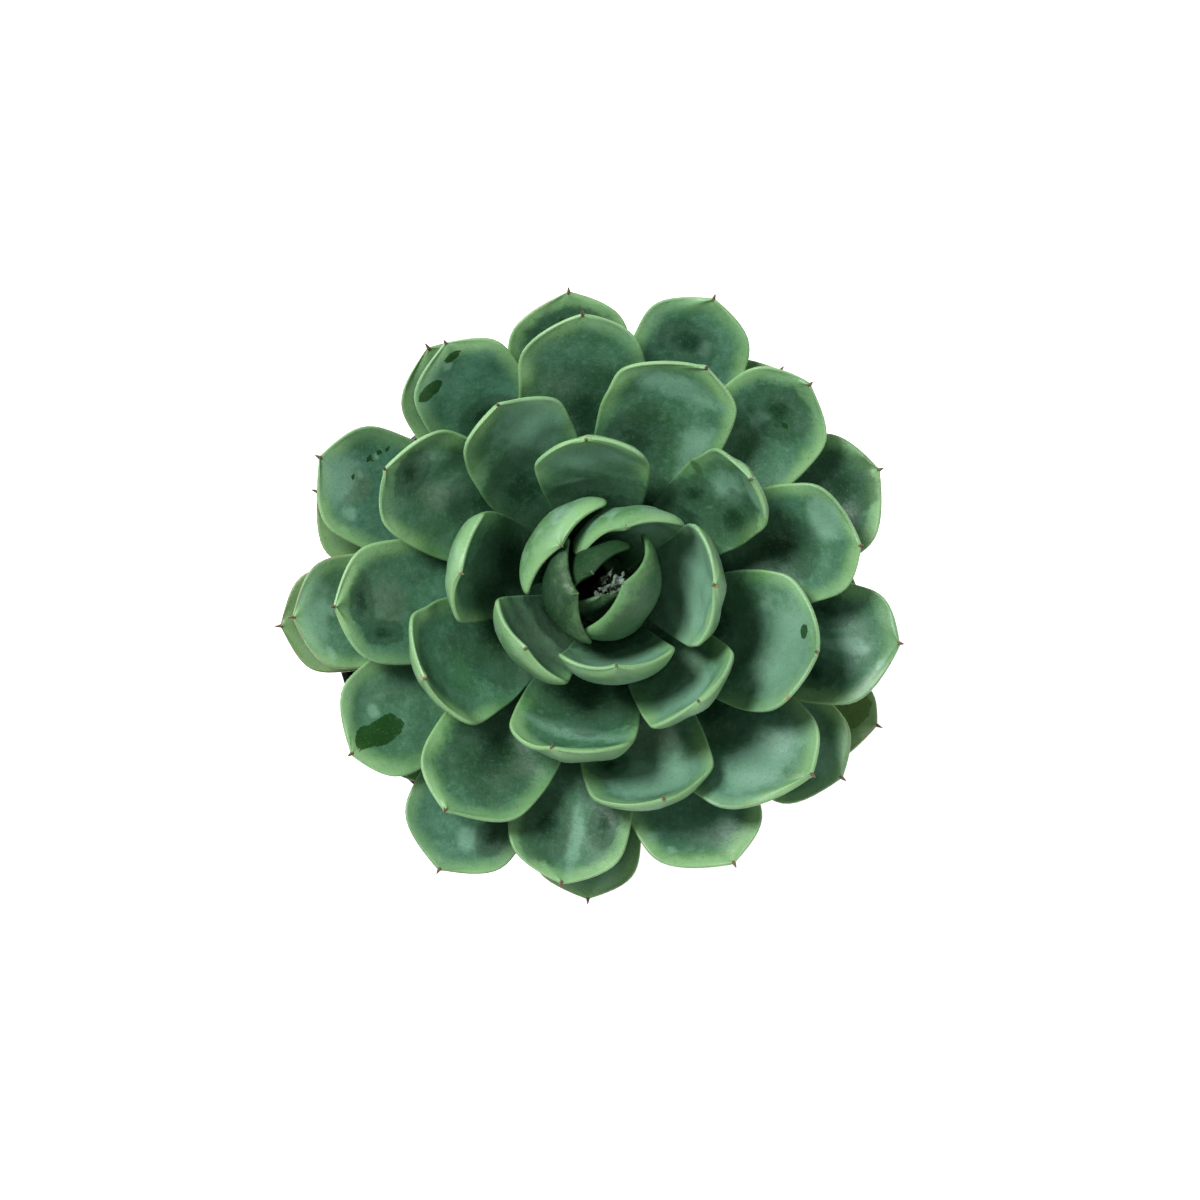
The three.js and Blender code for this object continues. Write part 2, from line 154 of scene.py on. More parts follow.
# What sets one leaf apart from the rule: turn, twist, sway, belly and curl in degrees, out, up and
# width in millimetres, skew as a share of the half width, and how much tighter its corners are.
ON_THE_RULE = dict(turn=0, twist=0, sway=0, belly=0, curl=0, out=0, up=0, width=0, skew=0, tight=0)
NUDGES = {
    1: dict(turn=-10, out=-0.5, up=-4, width=1),
    2: dict(turn=24, twist=14, out=-0.6, up=-2, width=1),
    3: dict(turn=10, twist=14, out=-0.4, up=-1),
    4: dict(twist=-2, sway=10, belly=18, curl=14, out=-1.6, width=3),
    5: dict(belly=12, curl=10, out=-2.4, width=-0.4, skew=-0.06),
    6: dict(turn=10, twist=42, belly=16, curl=10, out=0.2, width=-0.6, skew=0.1),
    7: dict(turn=2, twist=-10, belly=12, curl=10, out=0.1, width=-0.5),
    8: dict(turn=-8, twist=8, belly=28, curl=24, out=-4.1),
    9: dict(turn=-2, belly=5, curl=8, out=0.2),
    10: dict(turn=-4, sway=-3, belly=9, curl=18, out=-3.4, width=-2.2, skew=-0.06),
    11: dict(turn=3, sway=8, out=0.6, width=-1.5, tight=-3),
    12: dict(turn=1, belly=10, curl=20, out=-0.9, width=-2, skew=0.05),
    13: dict(turn=-4, sway=10, belly=18, curl=40, out=-3.6, width=-1.6, skew=-0.06),
    14: dict(turn=2, belly=6, curl=20, width=-3.3, skew=0.02, tight=-3.8),
    15: dict(turn=4, sway=-12, belly=10, curl=38, out=-3.6, skew=0.15),
    16: dict(turn=8, sway=-12, out=-0.1, width=-1.3, skew=-0.09, tight=-1.7),
    17: dict(turn=-9, twist=10, sway=22, belly=8, curl=20, width=2.2, skew=0.16, tight=-1),
    18: dict(turn=5, belly=14, curl=34, out=-3.6, width=0.4, tight=1.7),
    19: dict(out=0.5, width=0.7, skew=0.25),
    20: dict(belly=15, curl=45, out=-3.1, width=0.6, skew=-0.1, tight=1.5),
    21: dict(turn=-1, sway=7, out=-1, skew=-0.05),
    22: dict(turn=-1.5, out=0.1, width=-0.2, skew=0.22),
    23: dict(turn=2.2, out=0.3, width=0.4, skew=0.11),
    24: dict(turn=-1, width=0.8, skew=0.07),
    25: dict(turn=1.5, belly=12, out=0.3, width=2.5, skew=-0.35),
    26: dict(turn=5, out=-1.9, width=0.3),
    27: dict(turn=3, out=0.4, width=-0.8),
    28: dict(turn=-1, out=0.7),
    29: dict(turn=-3, out=-0.6, width=-1.2, skew=0.1),
    30: dict(turn=2, out=0.7, width=0.6, skew=-0.2),
    31: dict(turn=4, skew=-0.14),
    32: dict(turn=-3, out=1, width=-0.4, skew=0.05),
    33: dict(turn=2, out=0.5, width=1.1, skew=-0.2),
    34: dict(turn=-0.8, out=1.1, skew=0.08),
    35: dict(turn=5, out=0.3, width=1.9, skew=-0.09),
    36: dict(out=3, width=1, skew=-0.05),
    37: dict(turn=-6, width=1.2, skew=0.1),
    38: dict(turn=-2.5, out=1.2, skew=-0.1),
    39: dict(turn=-1, out=1.7),
    40: dict(turn=2, out=-1.2),
    41: dict(turn=-3, out=2.3, width=-0.5, skew=-0.08),
    42: dict(turn=-7, out=0.8, width=0.3, skew=0.08),
    43: dict(out=-2.6, up=-1),
    45: dict(out=-2.6, up=-1.5),
    46: dict(out=-1.5, up=-0.5),
    47: dict(turn=-2, out=2.5, skew=0.12),
    50: dict(out=-3, up=-1.5),
    51: dict(turn=2, out=4.4, up=1.2, width=-1.5, skew=-0.3),
    52: dict(turn=-7, out=6.5),
}

# The marks on single leaves: the kind, where it is along the leaf and across its half width, and how
# far it reaches along and across in millimetres. The shade marks are painted shade and shadow, partly
# where the wax is thin; the pale ones are painted highlights and reflections, partly where the wax is
# heavy; the wax is gone in the wet ones, a scar is brown and dust is grey.
MARKS = {
    1: [("shade", 0.7, 0, 14, 12)],
    2: [("shade", 0.7, 0, 14, 12)],
    3: [("shade", 0.7, 0, 30, 30)],
    4: [("shade", 0.5, 0, 8, 9)],
    5: [("shade", 0.7, 0, 16, 16)],
    6: [("pale", 0.62, 0, 4, 7)],
    7: [("shade", 0.3, 0, 3.6, 7), ("pale", 0.72, 0, 3, 6)],
    9: [("pale", 0.66, 0.05, 7, 11), ("scar", 0.99, -0.02, 0.25, 0.3)],
    10: [("dust", 0.55, 0, 5, 5), ("shade", 0.3, 0, 4, 8)],
    11: [("pale", 0.82, 0, 2.6, 6), ("shade", 0.42, 0, 5, 9), ("pale", 0.62, 0.4, 0.5, 2.2)],
    12: [("dust", 0.6, 0.3, 3, 2.4), ("shade", 0.38, -0.25, 3.4, 4), ("pale", 0.78, -0.1, 3, 5)],
    13: [("shade", 0.42, 0, 7.4, 8)],
    14: [
        ("shade", 0.68, -0.48, 4.6, 3.3), ("shade", 0.57, 0.42, 3.2, 2.6), ("pale", 0.77, 0.15, 2.6, 2.4),
        ("pale", 0.91, -0.35, 1.2, 2.6), ("shade", 0.7, 0.85, 0.5, 1.3), ("shade", 0.45, 0, 4, 6),
    ],
    15: [("shade", 0.44, 0, 7.4, 10), ("pale", 0.73, 0, 1.3, 6.5), ("scar", 0.985, 0.55, 0.3, 0.4)],
    16: [("shade", 0.52, 0.28, 6, 5), ("pale", 0.8, -0.35, 5, 4)],
    17: [
        ("shade", 0.42, 0, 6.6, 9), ("pale", 0.8, -0.05, 4.4, 8.5), ("wet", 0.89, 0.2, 0.6, 1),
        ("scar", 0.9, -0.75, 0.35, 0.35), ("pale", 0.68, 0.5, 1.1, 1),
    ],
    18: [("shade", 0.42, -0.15, 6.6, 8), ("scar", 0.98, -0.05, 0.3, 0.35)],
    19: [("shade", 0.54, 0.25, 6, 4.3), ("pale", 0.62, -0.6, 4, 2), ("pale", 0.85, 0, 1.8, 5.5)],
    20: [
        ("dust", 0.58, 0.2, 3, 4), ("shade", 0.66, -0.6, 2.3, 2.8), ("pale", 0.8, 0.1, 3.4, 6.5),
        ("shade", 0.38, 0, 3.6, 8),
    ],
    21: [("shade", 0.87, -0.05, 2.2, 3.2), ("shade", 0.5, -0.2, 5.5, 5), ("dust", 0.72, 0.1, 2.6, 2)],
    22: [("pale", 0.87, 0.32, 2.5, 3), ("shade", 0.64, -0.05, 5.6, 4.8), ("pale", 0.82, 0.5, 0.4, 0.4)],
    23: [("shade", 0.68, 0, 7.4, 5.8), ("dust", 0.68, 0.45, 1.4, 1.4)],
    24: [("shade", 0.58, -0.05, 7.4, 5.8)],
    25: [("shade", 0.5, 0.1, 6.2, 6.5), ("pale", 0.82, -0.05, 3.8, 7.5)],
    26: [("dust", 0.76, 0, 2.4, 3), ("shade", 0.88, -0.05, 1.8, 3.6), ("shade", 0.8, 0.45, 3, 1.6)],
    27: [
        ("shade", 0.84, 0.05, 3.6, 4.4), ("pale", 0.79, 0.12, 0.8, 0.6), ("pale", 0.76, 0.2, 1.3, 0.9),
        ("wet", 0.82, -0.2, 0.4, 0.7),
    ],
    28: [("shade", 0.8, -0.36, 5, 3.4), ("pale", 0.82, 0.12, 4.8, 1), ("shade", 0.76, 0.55, 3.6, 1.8)],
    29: [
        ("wet", 0.885, 0.6, 0.8, 1.7), ("wet", 0.945, -0.05, 0.5, 1.2), ("pale", 0.92, 0.1, 0.6, 0.7),
        ("shade", 0.68, 0, 2.2, 4),
    ],
    30: [
        ("pale", 0.8, 0, 4.6, 1), ("shade", 0.72, 0.5, 3.6, 2.2), ("shade", 0.72, -0.5, 3.6, 2.2),
        ("pale", 0.885, 0.02, 0.5, 0.5), ("pale", 0.95, -0.25, 0.6, 0.7),
    ],
    31: [
        ("wet", 0.92, 0.02, 1.9, 1.3), ("wet", 0.855, 0.12, 2.5, 1.6), ("pale", 0.84, -0.25, 0.8, 1),
        ("pale", 0.89, 0.02, 0.4, 0.5),
    ],
    32: [("shade", 0.82, 0.1, 3, 4.2), ("pale", 0.82, -0.22, 1.2, 1)],
    33: [("shade", 0.58, -0.2, 4, 6), ("pale", 0.8, -0.78, 0.8, 1), ("pale", 0.87, -0.6, 0.6, 0.7)],
    34: [
        ("wet", 0.862, 0, 0.3, 0.3), ("wet", 0.85, -0.14, 0.5, 0.35), ("wet", 0.848, -0.28, 0.25, 0.3),
        ("wet", 0.83, -0.42, 0.5, 0.5), ("wet", 0.815, -0.56, 0.3, 0.3), ("wet", 0.8, -0.68, 0.4, 0.5),
        ("pale", 0.845, -0.1, 0.4, 0.5), ("pale", 0.82, -0.5, 0.4, 0.5),
        ("pale", 0.82, 0.55, 0.9, 0.9), ("dust", 0.84, 0.1, 2, 2.4),
        ("pale", 0.9, 0.1, 2, 3.4),
    ],
    35: [("shade", 0.84, 0.05, 5, 4.8)],
    36: [("pale", 0.86, 0.2, 1.4, 1.6), ("shade", 0.82, 0.5, 2.6, 2)],
    37: [("shade", 0.86, 0, 3, 5)],
    38: [("dust", 0.8, 0.4, 2.5, 2), ("pale", 0.9, 0.1, 2, 3)],
    39: [
        ("pale", 0.92, 0, 2, 4), ("pale", 0.88, 0.7, 0.5, 1), ("pale", 0.87, -0.05, 0.6, 1.1),
        ("dust", 0.8, 0, 2, 3),
    ],
    41: [("pale", 0.92, 0, 2, 4)],
    51: [("wet", 0.9, 0.3, 2, 2.6)],
}
MARK_KINDS = ("shade", "pale", "wet", "scar", "dust")
NO_MARK = -3.0

# --- Dry chaff in the heart: middle (x, y, z), length, width, heading in degrees, how crumpled it is ---
CHAFF = (
    (6.7, 3.3, 74.7, 2.3, 1.3, 30, 0.25),
    (7.3, 4, 75.2, 1, 0.45, 75, 0.1),
    (5.3, 2.5, 74, 1.7, 0.9, 25, 0.2),
    (6.9, 2.3, 74.1, 1.3, 0.8, 100, 0.15),
    (4.5, 1.9, 73.7, 1.1, 0.7, 150, 0.15),
    (5.9, 4.2, 74.3, 1.4, 0.5, 55, 0.15),
    (6, 1.9, 73.6, 1.5, 1, 40, 0.2),
    (7.9, 3.1, 75, 0.9, 0.5, 20, 0.1),
    (5.2, 3.4, 73.6, 1.6, 1.1, 80, 0.2),
)
# From the lower middle of a scrap round its edge to its upper middle: share of its size, and side.
CHAFF_RINGS = ((0.45, -1), (0.8, -1), (1, 0), (0.8, 1), (0.45, 1))
CHAFF_SIDES = 22
CHAFF_THICK = 0.04  # half of a scrap's thickness
CHAFF_RAGGED = (0.55, 1.05)  # how far out its torn outline may be, as shares of its size

# --- Floor and light ---
FLOOR_REACH = 2500
LIGHT_AIM = 60  # the height that the lamps point at
SKY_LIGHT = 0.28
FLOOR_GLOW = 0.75


def mix(a, b, share):
    return a + (b - a) * share


def smooth(low, high, x):
    t = np.clip((x - low) / (high - low), 0, 1)
    return t * t * (3 - 2 * t)


def settled(x, pace):
    return 1 - math.exp(-x / pace)


# --- Meshes ---
def mesh_object(name, points, faces):
    mesh = bpy.data.meshes.new(name)
    mesh.from_pydata([tuple(p) for p in np.asarray(points) * MM], [], faces)
    mesh.validate()
    mesh.shade_smooth()
    piece = bpy.data.objects.new(name, mesh)
    bpy.context.scene.collection.objects.link(piece)
    return piece


def give_field(piece, name, values):
    field = piece.data.attributes.new(name, "FLOAT", "POINT")
    field.data.foreach_set("value", np.asarray(values, np.float32))


def place(piece, material, slot, *nodes):
    piece.data.materials.clear()
    piece.data.materials.append(material)
    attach(piece, "root")
    if nodes:
        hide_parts(*nodes)


def skin_faces(rings, around):
    """Faces of a closed skin of rings between a flat end and an end point."""
    faces = [tuple(range(around - 1, -1, -1))]
    for r in range(rings - 1):
        for i in range(around):
            a = r * around + i
            b = r * around + (i + 1) % around
            faces.append((a, b, b + around, a + around))
    last = (rings - 1) * around
    faces += [(last + i, last + (i + 1) % around, rings * around) for i in range(around)]
    return faces


def skin_between(rings, sides):
    """Faces of a closed skin of rings between two end points."""
    faces = []
    for i in range(sides):
        j = (i + 1) % sides
        faces.append((0, 1 + j, 1 + i))
        for r in range(rings - 1):
            a, b = 1 + r * sides, 1 + (r + 1) * sides
            faces.append((a + i, a + j, b + j, b + i))
        last = 1 + (rings - 1) * sides
        faces.append((last + i, last + j, rings * sides + 1))
    return faces


# --- The rule of the leaves ---
def stem_radius(age):
    return STEM_CROWN + STEM_GROWTH * age**0.7


def leaf_height(age):
    return mix(APEX, LOWEST_LEAF, age)


class Leaf:
    """The plan of one leaf, by its number."""

    def __init__(self, number):
        own = {**ON_THE_RULE, **NUDGES.get(number, {})}
        grown = max(0, number - BUD_LEAVES)
        self.number = number
        self.age = age = grown / (LEAF_COUNT - BUD_LEAVES)
        root = np.array([stem_radius(age) * ROOT_SHARE, leaf_height(age)])
        opened = 1 - math.exp(-((grown / OPENING) ** 1.4))
        reach = BUD_REACH + TIP_SPREAD * opened - DROOP * max(0, grown - DROOP_FROM)
        dip = HEART_DIP * math.exp(-grown / 2)
        height = mix(HEART_HEIGHT, SKIRT_HEIGHT, age**0.85) - dip
        tip = np.array([reach + own["out"], height + own["up"]])
        chord = tip - root
        self.length = float(np.linalg.norm(chord))
        rise = math.atan2(chord[1], chord[0])
        start = rise - math.radians(mix(BUD_BELLY, OLD_BELLY, age) + own["belly"])
        end = rise + math.radians(mix(BUD_CURL, OLD_CURL, age**0.7) + own["curl"])
        self.line = [
            root,
            root + self.length * ROOT_HANDLE * np.array([math.cos(start), math.sin(start)]),
            tip - self.length * TIP_HANDLE * np.array([math.cos(end), math.sin(end)]),
            tip,
        ]
        azimuth = math.radians(FIRST_AZIMUTH - DIVERGENCE * (number - 1) + own["turn"])
        self.out = np.array([math.cos(azimuth), math.sin(azimuth), 0])
        self.side = np.array([-math.sin(azimuth), math.cos(azimuth), 0])
        self.twist = math.radians(own["twist"])
        self.sway = math.tan(math.radians(own["sway"])) * self.length * 0.5
        self.skew = own["skew"]
        fading = FADING * max(0, grown - FADING_FROM)
        soft = min(1, max(0, (grown - SOFTENS_FROM) / SOFTENS_OVER))
        spread = min(1, grown / SPREADS_OVER)
        self.width = mix(BUD_WIDTH, LEAF_WIDTH, settled(grown, 1.7)) - fading + own["width"]
        self.depth = mix(BUD_DEPTH, LEAF_DEPTH, settled(grown, 6))
        self.cup = mix(BUD_CUP_RADIUS, CUP_RADIUS, settled(grown, 8))
        self.shoulder = mix(BUD_SHOULDER, SHOULDER, soft) + own["tight"]
        self.widest = mix(BUD_WIDEST, WIDEST, spread)
        self.flare = math.pi * mix(BUD_FLARE, FLARE, spread)

    def half_width(self, s):
        climb = np.sin(np.clip(s / self.widest, 0, 1) * self.flare) / math.sin(self.flare)
        lower = mix(BASE_SHARE, 1, climb**1.3)
        fall = np.clip((1 - s) * self.length / (self.width / 2 * APEX_RUN), 0, None)
        upper = fall / (1 + fall**self.shoulder) ** (1 / self.shoulder)
        return self.width / 2 * np.where(s < self.widest, lower, 1) * upper

    def bezier(self, t):
        p0, p1, p2, p3 = self.line
        t = t[:, None]
        u = 1 - t
        point = u**3 * p0 + 3 * u * u * t * p1 + 3 * u * t * t * p2 + t**3 * p3
        slope = 3 * u * u * (p1 - p0) + 6 * u * t * (p2 - p1) + 3 * t * t * (p3 - p2)
        return point, slope / np.linalg.norm(slope, axis=1, keepdims=True)

    def along_line(self, s):
        """Points and directions at shares s of the midline's own length, and that length."""
        t = np.linspace(0, 1, LINE_POINTS)
        points, _ = self.bezier(t)
        run = np.concatenate([[0], np.cumsum(np.linalg.norm(np.diff(points, axis=0), axis=1))])
        point, direction = self.bezier(np.interp(s * run[-1], run, t))
        return point, direction, run[-1]

    def frame_at(self, s):
        """Centre, direction, way across and facing at each share s."""
        point, direction, _ = self.along_line(s)
        up = np.array([0, 0, 1])
        along = direction[:, :1] * self.out + direction[:, 1:] * up
        facing = np.cross(along, self.side)
        bend = np.arctan(2 * s * self.sway / self.length)
        across = turned(np.tile(self.side, (len(s), 1)), facing, bend)
        centre = point[:, :1] * self.out + point[:, 1:] * up
        centre = centre + self.sway * (s**2)[:, None] * self.side
        return centre, along, turned(across, along, self.twist * s), turned(facing, along, self.twist * s)

    def surface(self, s, u, rise):
        """Points at shares s along and u across the blade, raised by rise towards its hollow."""
        centre, _, across, facing = self.frame_at(s)
        turn = (u + self.skew) * self.half_width(s) / self.cup
        radius = self.cup - rise
        sideways = across * (radius * np.sin(turn))[:, None]
        return PLANT + centre + sideways + facing * (self.cup - radius * np.cos(turn))[:, None]


def turned(vectors, axes, angles):
    c = np.cos(angles)[:, None]
    s = np.sin(angles)[:, None]
    dots = (vectors * axes).sum(1, keepdims=True)
    return vectors * c + np.cross(axes, vectors) * s + axes * dots * (1 - c)


def edge_distance(leaf, s, u):
    """How far each point of the blade is from its outline, laid flat."""
    length = leaf.along_line(np.array([1.0]))[2]
    low = np.linspace(0, leaf.widest, OUTLINE_POINTS)
    high = mix(leaf.widest, 1, np.sin(np.linspace(0.02, 1, OUTLINE_POINTS) * math.pi / 2))
    rim = np.concatenate([low, high])
    half = leaf.half_width(rim)
    x = s * length
    y = np.abs(u) * leaf.half_width(s)
    a = np.stack([rim[:-1] * length, half[:-1]], 1)
    b = np.stack([rim[1:] * length, half[1:]], 1)
    ab = b - a
    ap = np.stack([x, y], 1)[:, None, :] - a[None]
    share = np.clip((ap * ab).sum(2) / (ab * ab).sum(1), 0, 1)
    return np.linalg.norm(ap - share[..., None] * ab, axis=2).min(1)


def leaf_rises(leaf, s, u, upper):
    """How far the upper or lower face stands off the blade's middle, and the distance to the edge."""
    d = edge_distance(leaf, s, u)
    r = MARGIN / 2
    round_edge = r * np.sqrt(1 - (1 - np.clip(d / r, 0, 1)) ** 2)
    body = mix(BASE_DEPTH, leaf.depth, np.sin(math.pi * s * DEPTH_WAVE) ** 1.3)
    if upper:
        swell = SWELL * np.exp(-(((d - SWELL_AT) / SWELL_WIDTH) ** 2)) * smooth(0, 1.2, d)
        return mix(round_edge, UPPER_SHARE * body, smooth(r, UPPER_RUN, d)) + swell, d
    belly = 1 - (1 - np.clip(d / LIP_WIDTH, 0, 1)) ** 2
    return -(round_edge + np.maximum(0, LOWER_SHARE * body - r) * belly), d


def leaf_grid(leaf):
    """Shares along and across a leaf for the points of its upper and lower face, ring by ring."""
    top = np.sin(np.linspace(1, -1, ACROSS + 1) * math.pi / 2)
    ring_u = np.concatenate([top, -top[1:-1]])
    ring_upper = np.concatenate([np.ones(ACROSS + 1), np.zeros(ACROSS - 1)])
    low = np.linspace(0, leaf.widest, LOWER_STEPS, endpoint=False)
    high = mix(leaf.widest, 1, np.sin(np.linspace(0, 1, UPPER_STEPS + 1)[:-1] * math.pi / 2))
    rings = np.concatenate([low, high])
    s = np.repeat(rings, len(ring_u))
    return s, np.tile(ring_u, len(rings)), np.tile(ring_upper, len(rings)), len(rings), len(ring_u)


def waves(leaf, s, u):
    """The slow unevenness of a leaf's faces, in millimetres."""
    rng = np.random.default_rng(100 + leaf.number)
    total = np.zeros(len(s))
    for _ in range(WAVES):
        f_s, f_u = rng.uniform(1.5, 6), rng.uniform(-3, 3)
        height = rng.uniform(*WAVE_HEIGHTS)
        total += height * np.sin(2 * math.pi * (f_s * s + f_u * u * 0.5 + rng.uniform()))
    return total * smooth(0.15, 0.5, s)


def mucro(leaf, length):
    """The points and faces of the small sharp tip, a bent cone."""
    centre, along, across, facing = (v[0] for v in leaf.frame_at(np.array([1.0])))
    points = []
    sides, steps = 8, 5
    for j in range(steps):
        t = j / steps
        radius = MUCRO_RADIUS * (1 - t) ** 0.8
        middle = centre + along * (length * t - MUCRO_SINK) + facing * MUCRO_BEND * length * t * t
        for i in range(sides):
            a = 2 * math.pi * i / sides
            points.append(middle + radius * (across * math.cos(a) + np.cross(along, across) * math.sin(a)))
    points.append(centre + along * (length - MUCRO_SINK) + facing * MUCRO_BEND * length)
    return PLANT + np.array(points), skin_faces(steps, sides)


def mark_field(leaf, kind, s, u):
    """How deep each point lies in the leaf's marks of one kind: 1 at the middle, 0 at the edge."""
    length = leaf.along_line(np.array([1.0]))[2]
    x, y = s * length, u * leaf.half_width(s)
    depth = np.full(len(s), NO_MARK)
    for kind_of_mark, at_s, at_u, reach_s, reach_u in MARKS.get(leaf.number, ()):
        if kind_of_mark == kind:
            away = np.hypot((x - at_s * length) / reach_s, (y - at_u * leaf.width / 2) / reach_u)
            depth = np.maximum(depth, 1 - away)
    return depth


def make_leaf(number, material):
    leaf = Leaf(number)
    s, u, upper, rings, around = leaf_grid(leaf)
    high, d = leaf_rises(leaf, s, u, True)
    low, _ = leaf_rises(leaf, s, u, False)
    rise = np.where(upper > 0.5, high, low) + waves(leaf, s, u)
    points = leaf.surface(s, u, rise)
    tip = leaf.surface(np.array([1.0]), np.array([0.0]), np.array([0.0]))
    sharp, sharp_faces = mucro(leaf, mix(*MUCRO_LENGTHS, min(1, leaf.age * MUCRO_PACE)))
    blade, cone = len(points), len(sharp)
    faces = skin_faces(rings, around) + [tuple(i + blade + 1 for i in f) for f in sharp_faces]
    piece = mesh_object(f"leaf_{number:02d}_flesh", np.concatenate([points, tip, sharp]), faces)

    def give(name, values, at_tip, on_cone):
        """Values for the blade's points, its end point and all of the sharp tip."""
        whole = np.concatenate([np.broadcast_to(values, blade), [at_tip], np.full(cone, on_cone)])
        give_field(piece, name, whole)

    whim = np.random.default_rng(number).uniform()
    give("edge_mm", d, 0, 0)
    give("upper", np.where(np.abs(u) > 0.999, 0.5, upper), 0.5, 0.5)
    give("along", s, 1, 1)
    give("age", leaf.age, leaf.age, leaf.age)
    give("mucro", 0, 0, 1)
    give("whim", whim, whim, whim)
    for kind in MARK_KINDS:
        give(kind, mark_field(leaf, kind, s, u), NO_MARK, NO_MARK)
    place(piece, material, "leaf", f"leaf_{number:02d}")


# --- Dry chaff ---
def make_chaff(material):
    """Torn papery scraps, thin and crumpled, with ragged outlines."""
    rng = np.random.default_rng(11)
    points, faces = [], []
    turn = np.arange(CHAFF_SIDES) * 2 * math.pi / CHAFF_SIDES
    middle = np.zeros(1)
    for x, y, z, length, width, heading, crumple in CHAFF:
        a = math.radians(heading)
        wave = rng.uniform(0, 6, 3)
        ragged = rng.uniform(*CHAFF_RAGGED, CHAFF_SIDES) * (1 + 0.25 * np.sin(3 * turn + wave[2]))
        faces += [tuple(i + len(points) for i in f) for f in skin_between(len(CHAFF_RINGS), CHAFF_SIDES)]
        rims = [(share * ragged, side) for share, side in CHAFF_RINGS]
        for share, side in [(middle, -1), *rims, (middle, 1)]:
            angle = turn[: len(share)]
            p = share * np.cos(angle) * length / 2
            q = share * np.sin(angle) * width / 2
            high = crumple * np.sin(3.4 * p + wave[0]) * np.cos(4.2 * q + wave[1]) + side * CHAFF_THICK
            across = x + p * math.cos(a) - q * math.sin(a)
            up = y + p * math.sin(a) + q * math.cos(a)
            points += list(np.stack([across, up, z + high], 1))
    place(mesh_object("heart_chaff", points, faces), material, "leaf")


# --- Pot, soil and stem ---
def lathe_object(name, profile, sides):
    """A closed solid of revolution from a profile of (radius, height) that starts and ends on the axis."""
    rings = [p for p in profile if p[0] > 0]
    angles = [2 * math.pi * i / sides for i in range(sides)]
    points = [(0, 0, profile[0][1])]
    for r, z in rings:
        points += [(r * math.cos(a), r * math.sin(a), z) for a in angles]
    points.append((0, 0, profile[-1][1]))
    return mesh_object(name, points, skin_between(len(rings), sides))


def wall_radius(z):
    return mix(BASE_RADIUS, RIM_RADIUS - RIM_STEP, z / POT_HEIGHT)


def rounded(corner_list, size):
    """The profile with each inner corner replaced by a short arc."""
    points = [np.array(p, float) for p in corner_list]
    out = [points[0]]
    for before, corner, after in zip(points, points[1:], points[2:]):
        cut_a = min(size, np.linalg.norm(before - corner) / 2.1)
        cut_b = min(size, np.linalg.norm(after - corner) / 2.1)
        a = corner + (before - corner) / np.linalg.norm(before - corner) * cut_a
        b = corner + (after - corner) / np.linalg.norm(after - corner) * cut_b
        for t in np.linspace(0, 1, ROUNDING_POINTS):
            out.append((1 - t) ** 2 * a + 2 * t * (1 - t) * corner + t * t * b)
    out.append(points[-1])
    return [tuple(p) for p in out]


def make_pot(material):
    ledge = POT_HEIGHT - RIM_DEPTH
    corners = [
        (0, 0),
        (BASE_RADIUS - FOOT_INSET, 0),
        (wall_radius(FOOT_HEIGHT), FOOT_HEIGHT),
        (wall_radius(ledge), ledge),
        (RIM_RADIUS, ledge + RIM_SLOPE),
        (RIM_RADIUS, POT_HEIGHT),
        (RIM_RADIUS - WALL, POT_HEIGHT),
        (RIM_RADIUS - WALL, ledge + WALL + RIM_INNER_SLOPE),
        (wall_radius(ledge) - WALL, ledge + WALL),
        (wall_radius(FLOOR) - WALL, FLOOR),
        (0, FLOOR),
    ]
    pot = lathe_object("pot_shell", rounded(corners, POT_ROUNDING), POT_SIDES)
    drain = [(0, -1), (DRAIN_RADIUS, -1), (DRAIN_RADIUS, FLOOR + 1), (0, FLOOR + 1)]
    for i in range(DRAIN_HOLES):
        angle = 2 * math.pi * (i + 0.5) / DRAIN_HOLES
        bar = lathe_object("drain", drain, DRAIN_SIDES)
        move(bar, DRAIN_CIRCLE * math.cos(angle), DRAIN_CIRCLE * math.sin(angle))
        cut = pot.modifiers.new("cut", "BOOLEAN")
        cut.operation = "DIFFERENCE"
        cut.solver = "EXACT"
        cut.object = bar
        apply_modifiers(pot)
        bpy.data.objects.remove(bar)
    pot.data.shade_smooth()
    pot.data.set_sharp_from_angle(angle=math.radians(SHARP_ANGLE))
    place(pot, material, "pot", "pot")


def move(piece, x, y):
    piece.data.transform(Matrix.Translation((x * MM, y * MM, 0)))


def apply_modifiers(piece):
    graph = bpy.context.evaluated_depsgraph_get()
    mesh = bpy.data.meshes.new_from_object(piece.evaluated_get(graph))
    piece.modifiers.clear()
    piece.data = mesh


def grit(x, y):
    """How high the soil's uneven top is at a place, from -0.8 to 0.8."""
    wave = np.sin(x * 2.3 + np.sin(y * 1.7) * 1.4) * np.cos(y * 2.1 - np.sin(x * 1.3))
    return (wave + 0.6 * np.sin(x * 4.1 + y * 3.3)) * 0.5


def make_soil(material):
    bed = FLOOR + SOIL_GAP
    edge = wall_radius(SOIL_LEVEL) - WALL - SOIL_GAP
    side = [(0, bed), (wall_radius(bed) - WALL - SOIL_GAP, bed), (edge - 0.1, SOIL_LEVEL - SOIL_SHOULDER)]
    top = [((edge - 0.5) * (1 - i / SOIL_RINGS), SOIL_LEVEL) for i in range(SOIL_RINGS)]
    soil = lathe_object("soil_bed", side + top + [(0, SOIL_LEVEL)], SOIL_SIDES)
    for v in soil.data.vertices:
        if v.co.z / MM > SOIL_LEVEL - 0.5:
            x, y = v.co.x / MM, v.co.y / MM
            fine = noise.noise(Vector((x * 1.3, y * 1.3, 3))) * 0.5
            fine += noise.noise(Vector((x * 3.1, y * 3.1, 7))) * 0.3
            v.co.z += (GRIT_HEIGHT * grit(x, y) + fine) * MM
    place(soil, material, "soil", "soil")


